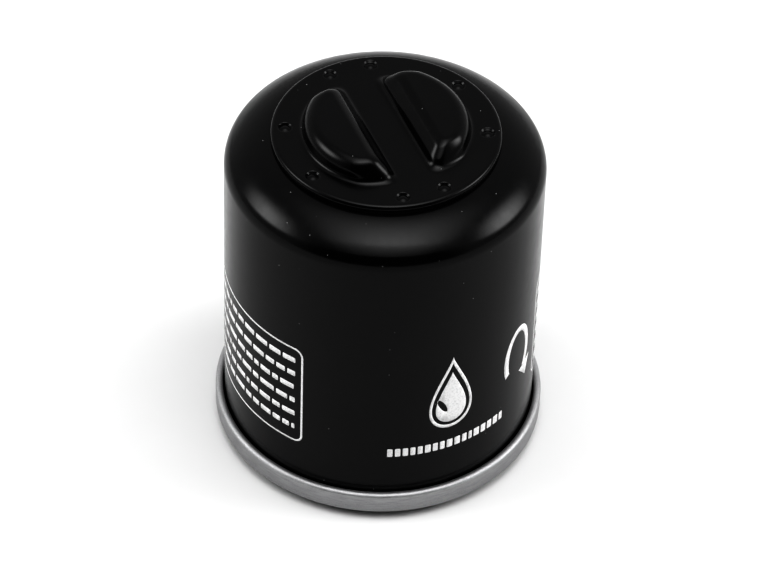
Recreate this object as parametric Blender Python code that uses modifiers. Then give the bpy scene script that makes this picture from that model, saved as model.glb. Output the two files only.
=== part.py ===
"""Spin-on oil filter for a small engine, built as the pieces that it is made of.

Metres, +Z up. The origin is the centre of the gasket's sealing face, and the filter stands on that face.
The grip's slot runs along Y, between the two half-moon grips. Sizes below are in millimetres; MM turns
them into metres.
"""

from math import atan2, cos, pi, radians, sin, sqrt

import bmesh
import bpy

MM = 0.001
LARGE_STEPS, SMALL_STEPS = 36, 28  # facets round a large and a small turned piece

# Can
CAN_R, CAN_WALL = 26.0, 0.5
CAN_TOP_Z = 60.15
DOME_R, SHOULDER_R, DOME_ANGLE = 12.0, 3.6, 43.0  # two arcs round the top edge, and where they meet
SHOULDER_Z = 54.3  # the straight wall ends here
FLARE_R, FLARE_Z, FLARE_END = 0.9, 5.0, 245.0  # the wall curves out here, until this angle of its arc
FLANGE_R, FLANGE_Z = 26.8, 4.05  # its edge inside the seam

# Seam lid
SHEET = 0.45
SEAM_R, SEAM_BOTTOM_Z, SEAM_TOP_Z = 27.5, 1.5, 5.4
GROOVE_IN_R, GROOVE_OUT_R, GROOVE_ROOF_Z = 20.45, 24.7, 3.925  # middle of the sheet

# Gasket
GASKET_IN_R, GASKET_OUT_R, GASKET_TOP_Z = 20.85, 24.2, 3.55

# Base plate: M20 x 1.5, bored to the thread's minor diameter
PLATE_BOTTOM_Z, PLATE_TOP_Z, PLATE_R = 4.45, 7.45, 25.1
THREAD_R, NECK_R, NECK_TOP_Z = 9.19, 10.9, 11.5
INLET_COUNT, INLET_R, INLET_RING_R = 6, 2.5, 15.6

# Anti-drainback valve
VALVE_COLLAR_R, VALVE_LIP_R, VALVE_BOTTOM_Z = 12.2, 20.3, 7.6

# Element
CAP_R, CAP_SHEET, CAP_RIM = 23.6, 0.5, 3.0
LOWER_CAP_Z, UPPER_CAP_Z = 13.1, 49.1  # lower cap's underside, upper cap's underside
TUBE_R, TUBE_WALL = 13.5, 0.5
PLEATS, PLEAT_IN_R, PLEAT_OUT_R, PAPER, FOLD_HALF = 40, 14.0, 22.6, 0.5, 0.45
POTTING = 1.2
TUBE_HOLES, TUBE_ROWS, TUBE_HOLE_R = 8, 4, 1.6

# Bypass valve
SEAT_R = 5.0
POPPET_R, POPPET_Z, POPPET_THICK = 7.0, 47.1, 0.8
STEM_R, STEM_BOTTOM_Z = 1.4, 36.6
CAGE_R, CAGE_WALL, CAGE_BOTTOM_Z = 8.3, 0.5, 38.0
WINDOW_R, WINDOW_Z = 2.4, 42.3
BYPASS_COIL_R, BYPASS_WIRE_R, BYPASS_TURNS = 4.3, 0.45, 5

# Element spring
SPRING_LOW_R, SPRING_HIGH_R, SPRING_WIRE_R, SPRING_TURNS = 13.0, 9.0, 0.7, 3

# Grip plate
DISC_R, DISC_TOP_Z, DISC_SHEET, DISC_EDGE = 18.56, 61.5, 0.95, 0.7
LOBE_HEIGHT = 3.2
LOBE_LEVELS = (  # height, chord's distance from the centre, outer radius, corner radius
    (0.0, 3.1, 13.5, 2.1),
    (1.2, 3.65, 13.3, 2.0),
    (2.4, 4.7, 12.75, 1.8),
    (2.9, 5.5, 12.2, 1.6),
    (LOBE_HEIGHT, 6.3, 11.3, 1.4),
)
LOBE_WALL = 0.8  # across the sheet where it stands nearly upright
WELD_R, WELD_DEPTH, WELD_RING_R = 1.1, 0.4, 16.2
WELD_ANGLES = (12.5, 67.5, 112.5, 167.5)  # from one end of the slot, repeated half a turn round


def clear_scene():
    for obj in list(bpy.data.objects):
        bpy.data.objects.remove(obj)


def collection(name, hidden=False):
    made = bpy.data.collections.new(name)
    made.hide_render = hidden
    bpy.context.scene.collection.children.link(made)
    return made


def material(name, colour, roughness, metallic=0.0):
    made = bpy.data.materials.new(name)
    made.use_nodes = True
    shader = made.node_tree.nodes["Principled BSDF"]
    shader.inputs["Base Color"].default_value = (*colour, 1.0)
    shader.inputs["Roughness"].default_value = roughness
    shader.inputs["Metallic"].default_value = metallic
    return made


def add(name, mesh, finish, group):
    obj = bpy.data.objects.new(name, mesh)
    if finish:
        mesh.materials.append(finish)
    group.objects.link(obj)
    return obj


def arc(centre, radius, start, end, steps):
    """Points of an arc in the section's plane, angles in degrees from the outward direction."""
    turns = [radians(start + (end - start) * i / steps) for i in range(steps + 1)]
    return [(centre[0] + radius * cos(t), centre[1] + radius * sin(t)) for t in turns]


def turned(name, profile, finish, group, closed=True, steps=LARGE_STEPS):
    """A section, in millimetres, turned about Z by a Screw modifier."""
    mesh = bpy.data.meshes.new(name)
    count = len(profile)
    edges = [(i, (i + 1) % count) for i in range(count if closed else count - 1)]
    mesh.from_pydata([(r * MM, 0.0, z * MM) for r, z in profile], edges, [])
    obj = add(name, mesh, finish, group)
    screw = obj.modifiers.new("turn", "SCREW")
    screw.steps = screw.render_steps = steps
    screw.use_merge_vertices = True
    screw.merge_threshold = 1e-6
    screw.use_smooth_shade = True
    return obj


def sheet(name, path, thickness, offset, finish, group, closed=False, steps=LARGE_STEPS):
    """A turned skin made solid: offset 0 puts the path at mid sheet, -1 makes it the outer face."""
    obj = turned(name, path, finish, group, closed=closed, steps=steps)
    solid = obj.modifiers.new("sheet", "SOLIDIFY")
    solid.thickness = thickness * MM
    solid.offset = offset
    solid.use_even_offset = True
    return obj


def cylinder_cutter(name, radius, length, place, turn, group, segments=12):
    mesh = bpy.data.meshes.new(name)
    shape = bmesh.new()
    bmesh.ops.create_cone(
        shape, cap_ends=True, segments=segments, radius1=radius * MM, radius2=radius * MM, depth=length * MM
    )
    shape.to_mesh(mesh)
    shape.free()
    obj = add(name, mesh, None, group)
    obj.location = [c * MM for c in place]
    obj.rotation_euler = turn
    obj.hide_render = True
    obj.display_type = "WIRE"
    return obj


def boolean(obj, other, operation="DIFFERENCE"):
    cut = obj.modifiers.new(other.name, "BOOLEAN")
    cut.operation = operation
    cut.object = other
    cut.solver = "EXACT"


def boolean_with(obj, group, operation="DIFFERENCE"):
    cut = obj.modifiers.new(group.name, "BOOLEAN")
    cut.operation = operation
    cut.operand_type = "COLLECTION"
    cut.collection = group
    cut.solver = "EXACT"


# ---------------------------------------------------------------- shell


def can(finish, group):
    dome = (CAN_R - SHOULDER_R - (DOME_R - SHOULDER_R) * sin(radians(DOME_ANGLE)), CAN_TOP_Z - DOME_R)
    path = [(0.0, CAN_TOP_Z)]
    path += arc(dome, DOME_R, 90, 90 - DOME_ANGLE, 3)
    path += arc((CAN_R - SHOULDER_R, SHOULDER_Z), SHOULDER_R, 90 - DOME_ANGLE, 0, 3)[1:]
    path += arc((CAN_R + FLARE_R, FLARE_Z), FLARE_R, 180, FLARE_END, 3)
    path += [(FLANGE_R, FLANGE_Z)]
    return sheet("can", path, CAN_WALL, -1, finish, group)


def seam_lid(finish, group):
    """The groove for the gasket, then the sheet rolled up round the can's flange."""
    bottom, outer, top = SEAM_BOTTOM_Z + SHEET / 2, SEAM_R - SHEET / 2, SEAM_TOP_Z - SHEET / 2
    corner, roll, lip, lip_end = 0.35, 0.6, 0.25, 26.4
    path = [(GROOVE_IN_R, bottom + 0.3)]
    path += arc((GROOVE_IN_R + corner, GROOVE_ROOF_Z - corner), corner, 180, 90, 1)
    path += arc((GROOVE_OUT_R - corner, GROOVE_ROOF_Z - corner), corner, 90, 0, 1)
    path += arc((GROOVE_OUT_R + roll, bottom + roll), roll, 180, 270, 2)
    path += arc((outer - roll, bottom + roll), roll, 270, 360, 2)
    path += [(outer, top - lip), (outer - lip, top), (lip_end, top)]
    return sheet("seam_lid", path[::-1], SHEET, 0, finish, group)


def seam_sealant(finish, group):
    inner, outer, low, high = 25.35, 26.5, 2.1, 3.3
    profile = [(inner, high), (outer, high), (outer, low), (inner, low)]
    return turned("seam_sealant", profile, finish, group)


def sealing_gasket(finish, group):
    edge = 0.5
    profile = [(GASKET_IN_R, GASKET_TOP_Z), (GASKET_OUT_R, GASKET_TOP_Z)]
    profile += arc((GASKET_OUT_R - edge, edge), edge, 0, -90, 2)
    profile += arc((GASKET_IN_R + edge, edge), edge, 270, 180, 2)
    return turned("sealing_gasket", profile, finish, group)


def base_plate(finish, group, cutters):
    chamfer, fillet, edge = 0.9, 1.0, 0.5
    profile = [(THREAD_R, NECK_TOP_Z - chamfer / 2), (THREAD_R + chamfer / 2, NECK_TOP_Z)]
    profile += [(NECK_R - edge, NECK_TOP_Z), (NECK_R, NECK_TOP_Z - edge)]
    profile += arc((NECK_R + fillet, PLATE_TOP_Z + fillet), fillet, 180, 270, 2)
    profile += [(PLATE_R - edge, PLATE_TOP_Z), (PLATE_R, PLATE_TOP_Z - edge)]
    profile += [(PLATE_R, PLATE_BOTTOM_Z + edge), (PLATE_R - edge, PLATE_BOTTOM_Z)]
    profile += [(THREAD_R + chamfer, PLATE_BOTTOM_Z), (THREAD_R, PLATE_BOTTOM_Z + chamfer)]
    plate = turned("base_plate", profile, finish, group)
    for i in range(INLET_COUNT):
        turn = 2 * pi * (i + 0.58) / INLET_COUNT
        place = (INLET_RING_R * cos(turn), INLET_RING_R * sin(turn), (PLATE_BOTTOM_Z + PLATE_TOP_Z) / 2)
        hole = cylinder_cutter(f"inlet_{i}", INLET_R, 8.0, place, (0, 0, turn / 3), cutters, segments=16)
        boolean(plate, hole)
    return plate


def lobe_outline(chord, radius, corner, inset=0.0, arc_steps=14, corner_steps=4):
    """A half-moon: a circle cut by a chord parallel to Y, with rounded corners, anticlockwise."""
    chord, radius, corner = chord + inset, radius - inset, max(corner - inset, 0.4)
    reach = radius - corner
    tip = sqrt(reach**2 - (chord + corner) ** 2)
    lean = atan2(tip, chord + corner)
    points = [(radius * cos(t), radius * sin(t)) for t in spread(-lean, lean, arc_steps)]
    middle = chord + corner
    for t in spread(lean, pi, corner_steps)[1:]:
        points.append((middle + corner * cos(t), corner * sin(t) + tip))
    for t in spread(pi, 2 * pi - lean, corner_steps)[:-1]:
        points.append((middle + corner * cos(t), corner * sin(t) - tip))
    return points


def spread(start, end, steps):
    return [start + (end - start) * i / steps for i in range(steps + 1)]


def lobe_mesh(name, rise, inset, low):
    """A loft from the half-moon's foot to its crest, carried down to low."""
    levels = [(low, *LOBE_LEVELS[0][1:])]
    levels += [(DISC_TOP_Z + height * rise / LOBE_HEIGHT, *size) for height, *size in LOBE_LEVELS]
    shape = bmesh.new()
    rings = []
    for z, *size in levels:
        outline = lobe_outline(*size, inset=inset)
        rings.append([shape.verts.new((x * MM, y * MM, z * MM)) for x, y in outline])
    for lower, upper in zip(rings, rings[1:]):
        for i in range(len(lower)):
            j = (i + 1) % len(lower)
            shape.faces.new((lower[i], lower[j], upper[j], upper[i]))
    shape.faces.new(rings[-1])
    shape.faces.new(rings[0][::-1])
    mesh = bpy.data.meshes.new(name)
    shape.to_mesh(mesh)
    shape.free()
    return mesh


def lobe_pair(name, rise, inset, low, group):
    mesh = lobe_mesh(name, rise, inset, low)
    for side, turn in (("left", pi), ("right", 0.0)):
        obj = add(f"{name}_{side}", mesh, None, group)
        obj.rotation_euler = (0, 0, turn)
        obj.hide_render = True
        obj.display_type = "WIRE"


def grip_plate(finish, group):
    under, skirt = DISC_TOP_Z - DISC_SHEET, 60.3
    profile = [(0.0, DISC_TOP_Z)]
    profile += arc((DISC_R - DISC_EDGE, DISC_TOP_Z - DISC_EDGE), DISC_EDGE, 90, 0, 3)
    inside = DISC_R - DISC_SHEET
    profile += [(DISC_R, skirt), (inside, skirt), (inside - 0.25, under), (0.0, under)]
    plate = turned("grip_plate", profile, finish, group, closed=False)
    bumps = collection("grip_bumps", hidden=True)
    lobe_pair("lobe", LOBE_HEIGHT, 0.0, DISC_TOP_Z - 0.5, bumps)
    boolean_with(plate, bumps, "UNION")
    hollows = collection("grip_hollows", hidden=True)
    lobe_pair("hollow", LOBE_HEIGHT - DISC_SHEET, LOBE_WALL, under - 1.0, hollows)
    for half in (90.0, 270.0):
        for angle in WELD_ANGLES:
            turn = radians(half + angle)
            place = (WELD_RING_R * cos(turn), WELD_RING_R * sin(turn), DISC_TOP_Z)
            name = f"weld_{half + angle:.0f}"
            cylinder_cutter(name, WELD_R, 2 * WELD_DEPTH, place, (0, 0, turn), hollows)
    boolean_with(plate, hollows)
    return plate


# ---------------------------------------------------------------- valve and element


def anti_drainback_valve(finish, group):
    low, bore = VALVE_BOTTOM_Z, NECK_R + 0.3
    profile = [(bore, low + 2.6), (VALVE_COLLAR_R, low + 2.6), (VALVE_COLLAR_R + 0.6, low + 2.1)]
    profile += [(VALVE_LIP_R - 0.6, low + 0.9), (VALVE_LIP_R, low + 0.5), (VALVE_LIP_R, low)]
    profile += [(VALVE_LIP_R - 1.0, low), (VALVE_COLLAR_R + 1.0, low + 1.0), (VALVE_COLLAR_R, low)]
    profile += [(bore + 0.5, low), (bore, low + 1.2)]
    return turned("anti_drainback_valve", profile, finish, group, steps=SMALL_STEPS)


def element_grommet(finish, group):
    low, high, lip = NECK_TOP_Z + 0.1, LOWER_CAP_Z - 0.1, LOWER_CAP_Z + 0.8
    inner, step, outer = THREAD_R + 0.5, 10.4, 12.6
    profile = [(inner, lip), (step, lip), (step, high), (outer, high), (outer, low), (inner, low)]
    return turned("element_grommet", profile, finish, group, steps=SMALL_STEPS)


def end_cap(name, z, up, hole, finish, group):
    """A pressed cap: a flat ring with its rim turned over the pleats, up or down from its flat face."""
    rim, bend = CAP_RIM * up, 0.6
    edge = CAP_R - CAP_SHEET / 2
    face = z + CAP_SHEET / 2
    turn = arc((edge - bend, face + bend * up), bend, -90 * up, 0, 2)
    path = [(hole, face), *turn, (edge, face + rim)]
    return sheet(name, path[::up], CAP_SHEET, 0, finish, group)


def potting(name, low, finish, group):
    inner, outer, high, edge = TUBE_R + 0.15, CAP_R - CAP_SHEET - 0.15, low + POTTING, 0.5
    profile = [(inner, high), (outer, high), (outer, low + edge), (outer - edge, low), (inner, low)]
    if name == "upper_potting":
        profile = [(inner, high), (outer - edge, high), (outer, high - edge), (outer, low), (inner, low)]
    return turned(name, profile, finish, group)


def pleated_media(finish, group):
    """The paper's zigzag, with a small flat at each fold, drawn up and given its thickness."""
    low = LOWER_CAP_Z + CAP_SHEET + 0.1 + POTTING + 0.1
    high = UPPER_CAP_Z - 0.1 - POTTING - 0.1
    corners = []
    for fold in range(2 * PLEATS):
        reach = PLEAT_IN_R + PAPER / 2 if fold % 2 else PLEAT_OUT_R - PAPER / 2
        for side in (-1, 1):
            turn = pi * fold / PLEATS + side * FOLD_HALF / reach
            corners.append((reach * cos(turn) * MM, reach * sin(turn) * MM))
    shape = bmesh.new()
    floor = [shape.verts.new((x, y, low * MM)) for x, y in corners]
    edges = [shape.edges.new((floor[i - 1], floor[i])) for i in range(len(floor))]
    raised = bmesh.ops.extrude_edge_only(shape, edges=edges)["geom"]
    ceiling = [v for v in raised if isinstance(v, bmesh.types.BMVert)]
    bmesh.ops.translate(shape, verts=ceiling, vec=(0, 0, (high - low) * MM))
    bmesh.ops.recalc_face_normals(shape, faces=shape.faces[:])
    mesh = bpy.data.meshes.new("pleated_media")
    shape.to_mesh(mesh)
    shape.free()
    obj = add("pleated_media", mesh, finish, group)
    solid = obj.modifiers.new("paper", "SOLIDIFY")
    solid.thickness = PAPER * MM
    solid.offset = 0
    solid.use_even_offset = True
    return obj


def media_seam_clip(finish, group):
    """A strip folded over one pleat's outer fold."""
    height, depth, width, gauge = 31.0, 2.2, 2.6, 0.3
    curve = bpy.data.curves.new("media_seam_clip", "CURVE")
    curve.dimensions = "2D"
    curve.fill_mode = "BOTH"
    curve.extrude = height / 2 * MM
    outer = PLEAT_OUT_R + 0.25 + gauge - 0.15
    start = outer - depth
    half = width / 2
    outline = [(start, half), (outer, half), (outer, -half), (start, -half)]
    outline += [(start, gauge - half), (outer - gauge, gauge - half)]
    outline += [(outer - gauge, half - gauge), (start, half - gauge)]
    spline = curve.splines.new("POLY")
    spline.points.add(len(outline) - 1)
    for point, (x, y) in zip(spline.points, outline):
        point.co = (x * MM, y * MM, 0.0, 1.0)
    spline.use_cyclic_u = True
    obj = add("media_seam_clip", curve, finish, group)
    obj.location = (0, 0, (LOWER_CAP_Z + UPPER_CAP_Z + CAP_SHEET) / 2 * MM)
    return obj


def centre_tube(finish, group, cutters):
    low, high = LOWER_CAP_Z + CAP_SHEET + 0.1, UPPER_CAP_Z - 0.1
    inner = TUBE_R - TUBE_WALL
    profile = [(inner, high), (TUBE_R, high), (TUBE_R, low), (inner, low)]
    tube = turned("centre_tube", profile, finish, group, steps=SMALL_STEPS)
    first, last = low + 5.0, high - 5.0
    for row in range(TUBE_ROWS):
        z = first + (last - first) * row / (TUBE_ROWS - 1)
        for i in range(TUBE_HOLES // 2):
            turn = pi * (i + 0.5 * (row % 2)) / (TUBE_HOLES // 2)
            name, place, lie = f"tube_hole_{row}_{i}", (0, 0, z), (pi / 2, 0, turn)
            boolean(tube, cylinder_cutter(name, TUBE_HOLE_R, 4 * TUBE_R, place, lie, cutters, segments=8))
    return tube


def bypass_housing(finish, group, cutters):
    top = UPPER_CAP_Z - 0.1
    floor = CAGE_BOTTOM_Z + CAGE_WALL
    inner, flange_r, guide = CAGE_R - CAGE_WALL, 11.5, STEM_R + 0.3
    profile = [(inner, top), (flange_r, top), (flange_r, top - 0.5), (CAGE_R, top - 0.5)]
    profile += [(CAGE_R, CAGE_BOTTOM_Z + 0.5), (CAGE_R - 0.5, CAGE_BOTTOM_Z), (guide, CAGE_BOTTOM_Z)]
    profile += [(guide, floor), (inner, floor)]
    cage = turned("bypass_housing", profile, finish, group, steps=SMALL_STEPS)
    for i in range(2):
        name, place, lie = f"cage_window_{i}", (0, 0, WINDOW_Z), (pi / 2, 0, pi * i / 2)
        boolean(cage, cylinder_cutter(name, WINDOW_R, 4 * CAGE_R, place, lie, cutters))
    return cage


def bypass_poppet(finish, group):
    low, high, nub_r, tip = POPPET_Z, POPPET_Z + POPPET_THICK, 2.6, 0.4
    profile = [(0.0, high + 0.8), (nub_r, high + 0.8), (nub_r, high), (POPPET_R, high), (POPPET_R, low)]
    profile += [(STEM_R, low), (STEM_R, STEM_BOTTOM_Z + tip)]
    profile += [(STEM_R - tip, STEM_BOTTOM_Z), (0.0, STEM_BOTTOM_Z)]
    return turned("bypass_poppet", profile, finish, group, closed=False, steps=24)


def bypass_seal(finish, group):
    low, high, inner = POPPET_Z + POPPET_THICK + 0.1, UPPER_CAP_Z - 0.1, 2.75
    profile = [(inner, high), (POPPET_R, high), (POPPET_R, low), (inner, low)]
    return turned("bypass_seal", profile, finish, group, steps=24)


def coil(name, low_r, high_r, wire_r, turns, low, high, finish, group, points_per_turn=14):
    """A compression spring with a closed turn at each end, from low to high over its wire."""
    curve = bpy.data.curves.new(name, "CURVE")
    curve.dimensions = "3D"
    curve.bevel_depth = wire_r * MM
    curve.bevel_resolution = 1
    curve.use_fill_caps = True
    count = turns * points_per_turn
    start, end = low + wire_r, high - wire_r
    closed = 0.75 / turns  # share of the wire that lies flat at each end
    rise_closed = 2.3 * wire_r
    spline = curve.splines.new("POLY")
    spline.points.add(count)
    for i, point in enumerate(spline.points):
        along = i / count
        middle = min(max((along - closed) / (1 - 2 * closed), 0.0), 1.0)
        ends = (min(along, closed) + max(along - 1 + closed, 0.0)) / closed
        z = start + rise_closed * ends + (end - start - 2 * rise_closed) * middle
        reach = low_r + (high_r - low_r) * along
        turn = 2 * pi * turns * along
        point.co = (reach * cos(turn) * MM, reach * sin(turn) * MM, z * MM, 1.0)
    return add(name, curve, finish, group)


def main():
    clear_scene()
    filter_parts = collection("oil_filter")
    cutters = collection("cutters", hidden=True)

    black_paint = material("black_paint", (0.012, 0.012, 0.013), 0.25)
    zinc_steel = material("zinc_steel", (0.45, 0.45, 0.46), 0.35, 1.0)
    plate_steel = material("plate_steel", (0.36, 0.34, 0.30), 0.45, 1.0)
    cap_steel = material("cap_steel", (0.55, 0.55, 0.56), 0.4, 1.0)
    spring_steel = material("spring_steel", (0.30, 0.30, 0.31), 0.3, 1.0)
    black_rubber = material("black_rubber", (0.02, 0.02, 0.02), 0.6)
    valve_rubber = material("valve_rubber", (0.28, 0.06, 0.03), 0.6)
    sealant = material("sealant", (0.55, 0.52, 0.42), 0.7)
    adhesive = material("adhesive", (0.60, 0.48, 0.25), 0.6)
    paper = material("paper", (0.70, 0.58, 0.32), 0.9)

    can(black_paint, filter_parts)
    grip_plate(black_paint, filter_parts)
    seam_lid(zinc_steel, filter_parts)
    seam_sealant(sealant, filter_parts)
    sealing_gasket(black_rubber, filter_parts)
    base_plate(plate_steel, filter_parts, cutters)

    anti_drainback_valve(valve_rubber, filter_parts)
    element_grommet(black_rubber, filter_parts)
    end_cap("lower_end_cap", LOWER_CAP_Z, 1, 10.8, cap_steel, filter_parts)
    end_cap("upper_end_cap", UPPER_CAP_Z, -1, SEAT_R, cap_steel, filter_parts)
    potting("lower_potting", LOWER_CAP_Z + CAP_SHEET + 0.1, adhesive, filter_parts)
    potting("upper_potting", UPPER_CAP_Z - 0.1 - POTTING, adhesive, filter_parts)
    pleated_media(paper, filter_parts)
    media_seam_clip(cap_steel, filter_parts)
    centre_tube(cap_steel, filter_parts, cutters)

    bypass_housing(cap_steel, filter_parts, cutters)
    bypass_poppet(cap_steel, filter_parts)
    bypass_seal(black_rubber, filter_parts)
    coil("bypass_spring", BYPASS_COIL_R, BYPASS_COIL_R, BYPASS_WIRE_R, BYPASS_TURNS,
         CAGE_BOTTOM_Z + CAGE_WALL + 0.1, POPPET_Z - 0.1, spring_steel, filter_parts)
    coil("element_spring", SPRING_LOW_R, SPRING_HIGH_R, SPRING_WIRE_R, SPRING_TURNS,
         UPPER_CAP_Z + CAP_SHEET + 0.1, CAN_TOP_Z - CAN_WALL - 0.1, spring_steel, filter_parts)


main()
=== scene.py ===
from math import atan2, ceil, cos, pi, radians, sin, sqrt, tan

import bmesh
import bpy
from mathutils import Matrix, Vector, noise


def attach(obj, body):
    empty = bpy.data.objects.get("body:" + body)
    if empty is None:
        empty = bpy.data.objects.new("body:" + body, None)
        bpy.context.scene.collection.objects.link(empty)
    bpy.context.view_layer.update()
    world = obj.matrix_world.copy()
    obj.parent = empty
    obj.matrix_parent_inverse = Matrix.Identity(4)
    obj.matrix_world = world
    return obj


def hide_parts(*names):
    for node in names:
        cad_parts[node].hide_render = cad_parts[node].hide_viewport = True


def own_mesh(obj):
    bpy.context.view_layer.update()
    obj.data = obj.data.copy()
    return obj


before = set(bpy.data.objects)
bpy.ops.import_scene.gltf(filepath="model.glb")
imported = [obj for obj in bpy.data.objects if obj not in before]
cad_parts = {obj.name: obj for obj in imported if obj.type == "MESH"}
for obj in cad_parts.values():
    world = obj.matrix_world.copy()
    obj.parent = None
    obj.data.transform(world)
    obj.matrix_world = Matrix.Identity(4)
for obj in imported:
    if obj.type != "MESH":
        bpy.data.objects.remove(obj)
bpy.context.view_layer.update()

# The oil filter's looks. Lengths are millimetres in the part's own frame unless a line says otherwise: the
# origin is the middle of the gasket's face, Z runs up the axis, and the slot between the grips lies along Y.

MM = 0.001
STEPS = 180  # facets round a turned piece
SMALL_STEPS = 96  # and round a small one

# Sizes that pieces share
CAN_R, CAN_WALL = 26.0, 0.5
CAN_TOP = 60.15
DISC_R, DISC_TOP, DISC_SHEET = 18.56, 61.5, 0.9
LOBE_RISE, GRIP_FILLET = 3.2, 0.7
THREAD_R, THREAD_PITCH, THREAD_DEPTH = 9.19, 1.5, 0.81
NECK_R, NECK_TOP, PLATE_LOW, PLATE_TOP = 10.9, 11.5, 4.45, 7.45
LOWER_CAP, UPPER_CAP, CAP_SHEET = 13.1, 49.1, 0.5
TUBE_R = 13.5
CAMERA_AZIMUTH, CAMERA_ELEVATION = 247.0, 43.2  # degrees


# ---------------------------------------------------------------- sections


def rounded(corners, closed=True):
    """A section whose corners are (r, z) or (r, z, radius), with each radius drawn as an arc."""
    points = []
    count = len(corners)
    for i, corner in enumerate(corners):
        at = Vector(corner[:2])
        radius = corner[2] if len(corner) > 2 else 0.0
        if radius <= 0 or (not closed and i in (0, count - 1)):
            points.append(tuple(at))
            continue
        back = (Vector(corners[i - 1][:2]) - at).normalized()
        on = (Vector(corners[(i + 1) % count][:2]) - at).normalized()
        half = back.angle(on) / 2
        centre = at + (back + on).normalized() * (radius / sin(half))
        first = at + back * (radius / tan(half)) - centre
        last = at + on * (radius / tan(half)) - centre
        turn = first.angle_signed(last)
        steps = max(2, ceil(abs(turn) / radians(9)))
        for k in range(steps + 1):
            points.append(tuple(centre + Matrix.Rotation(-turn * k / steps, 2) @ first))
    return points


def skin(path, thickness):
    """The closed section of a sheet whose middle follows path."""
    sides = ([], [])
    runs = [(Vector(there) - Vector(here)).normalized() for here, there in zip(path, path[1:])]
    for point, before, after in zip(path, runs[:1] + runs, runs + runs[-1:]):
        along = (before + after).normalized()
        reach = thickness / 2 / max(along.dot(after), 0.3)
        for side, sign in zip(sides, (1, -1)):
            side.append((point[0] - along.y * reach * sign, point[1] + along.x * reach * sign))
    return sides[0] + sides[1][::-1]


# ---------------------------------------------------------------- meshes


def lathe(section, closed=True, steps=STEPS):
    """A section turned about Z. A point on the axis becomes one vertex."""
    shape = bmesh.new()
    poles = {i: shape.verts.new((0, 0, z * MM)) for i, (r, z) in enumerate(section) if abs(r) < 1e-6}
    columns = []
    for step in range(steps):
        turn = 2 * pi * step / steps
        column = []
        for i, (r, z) in enumerate(section):
            column.append(poles.get(i) or shape.verts.new((r * cos(turn) * MM, r * sin(turn) * MM, z * MM)))
        columns.append(column)
    pairs = list(zip(range(len(section) - 1), range(1, len(section))))
    if closed:
        pairs.append((len(section) - 1, 0))
    for here, there in zip(columns, columns[1:] + columns[:1]):
        for i, j in pairs:
            corners = list(dict.fromkeys((here[i], here[j], there[j], there[i])))
            if len(corners) > 2:
                shape.faces.new(corners)
    return shape


def join_rings(shape, rings):
    """Faces between neighbouring rings of equal count."""
    for lower, upper in zip(rings, rings[1:]):
        for i in range(len(lower)):
            shape.faces.new((lower[i - 1], lower[i], upper[i], upper[i - 1]))


def ring_edges(shape, ring):
    """The edges round a ring, made where they're missing."""
    ends = [(ring[i - 1], ring[i]) for i in range(len(ring))]
    return [shape.edges.get(pair) or shape.edges.new(pair) for pair in ends]


def sweep(path, radius, sides=14):
    """A round wire along a path in millimetres, with flat ends."""
    shape = bmesh.new()
    rings = []
    normal = Vector((0, 0, 1))
    for i, point in enumerate(path):
        along = (Vector(path[min(i + 1, len(path) - 1)]) - Vector(path[max(i - 1, 0)])).normalized()
        normal = (normal - along * normal.dot(along)).normalized()
        across = along.cross(normal)
        ring = []
        for k in range(sides):
            turn = 2 * pi * k / sides
            spot = Vector(point) + (normal * cos(turn) + across * sin(turn)) * radius
            ring.append(shape.verts.new(spot * MM))
        rings.append(ring)
    join_rings(shape, rings)
    for ring in (rings[0], rings[-1]):
        shape.faces.new(ring)
    return shape


def piece(shape, name, body, finish, stands_for=(), sharp=32.0):
    """A shown piece from a mesh in progress: faces outward, smooth but for sharp edges, riding on its body."""
    bmesh.ops.recalc_face_normals(shape, faces=shape.faces[:])
    mesh = bpy.data.meshes.new(name)
    shape.to_mesh(mesh)
    shape.free()
    mesh.shade_smooth()
    mesh.set_sharp_from_angle(angle=radians(sharp))
    mesh.materials.append(finish)
    obj = bpy.data.objects.new(name, mesh)
    bpy.context.scene.collection.objects.link(obj)
    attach(obj, body)
    if stands_for:
        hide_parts(*stands_for)
    return obj


def drill(shape, holes):
    """Cuts round holes out of a mesh in progress. Each is (centre, direction, its radius at each end, length)."""
    solids = []
    for i, source in enumerate((shape, bmesh.new())):
        if i:
            for centre, direction, low_r, high_r, length in holes:
                place = Matrix.Translation(Vector(centre) * MM)
                place @= Vector(direction).to_track_quat("Z", "Y").to_matrix().to_4x4()
                bmesh.ops.create_cone(source, cap_ends=True, segments=40, radius1=low_r * MM,
                                      radius2=high_r * MM, depth=length * MM, matrix=place)
        bmesh.ops.recalc_face_normals(source, faces=source.faces[:])
        mesh = bpy.data.meshes.new("drilled")
        source.to_mesh(mesh)
        source.free()
        obj = bpy.data.objects.new("drilled", mesh)
        bpy.context.scene.collection.objects.link(obj)
        solids.append(obj)
    cut = solids[0].modifiers.new("cut", "BOOLEAN")
    cut.object = solids[1]
    cut.solver = "EXACT"
    seen = bpy.context.evaluated_depsgraph_get()
    result = bmesh.new()
    result.from_object(solids[0], seen)
    for obj in solids:
        mesh = obj.data
        bpy.data.objects.remove(obj)
        bpy.data.meshes.remove(mesh)
    return result


# ---------------------------------------------------------------- materials


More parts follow.
